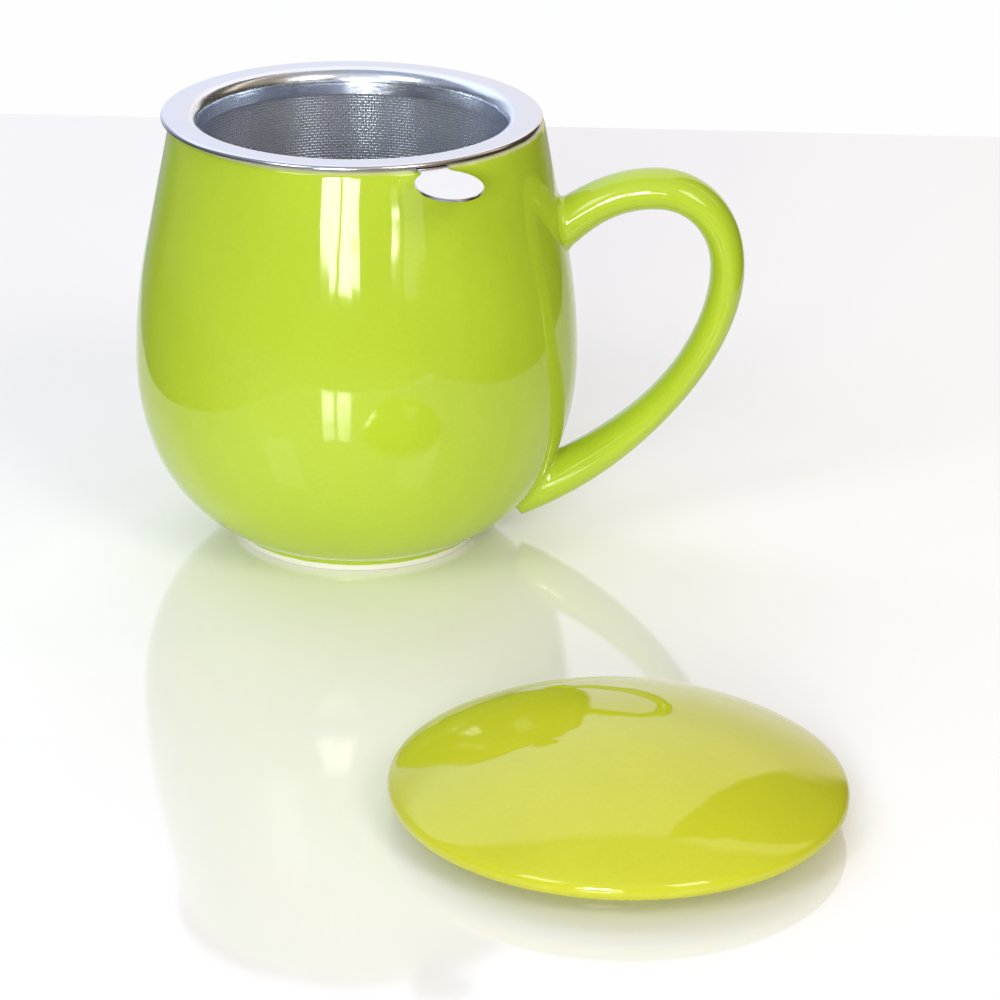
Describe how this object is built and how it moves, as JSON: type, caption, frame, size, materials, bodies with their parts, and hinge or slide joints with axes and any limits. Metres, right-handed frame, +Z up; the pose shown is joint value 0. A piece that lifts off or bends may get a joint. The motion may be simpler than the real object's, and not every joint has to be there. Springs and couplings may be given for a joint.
{
  "type": "lidded tea mug with infuser",
  "caption": "Glazed pot-bellied tea mug with a loop handle, a steel strainer basket that lifts out of its mouth, and a loose domed lid laid beside it.",
  "frame": {"origin": "on the mug's axis, in the plane of its foot, which is the table's surface", "axes": "+Z up out of the mug's mouth, +X towards the handle, so the lid lies on the -Y side in front"},
  "size_m": [0.1409, 0.2153, 0.0896],
  "materials": {
    "green_glaze": "glossy lime-green glaze, white inside and at the lip",
    "handle_glaze": "glossy lime-green glaze",
    "polished_steel": "polished stainless steel",
    "tab_steel": "polished stainless steel",
    "wire_cloth": "fine woven stainless wire",
    "floor_cloth": "fine woven stainless wire",
    "hoop_steel": "polished stainless steel",
    "lid_glaze": "glossy yellow-green glaze, pale underneath"
  },
  "bodies": {
    "mug": {"mug_body": "green_glaze", "mug_handle": "handle_glaze"},
    "strainer": {"strainer_rim": "polished_steel", "thumb_tab": "tab_steel", "basket_wall": "wire_cloth", "basket_floor": "floor_cloth", "base_hoop": "hoop_steel"},
    "lid": {"lid": "lid_glaze"}
  },
  "joints": [
    {"name": "strainer_lift", "type": "slide", "parent": "mug", "child": "strainer", "axis": [0, 0, 1], "range_m": [0, 0.07]},
    {"name": "lid_lift", "type": "slide", "parent": "mug", "child": "lid", "axis": [0, 0, 1], "range_m": [0, 0.12]}
  ]
}
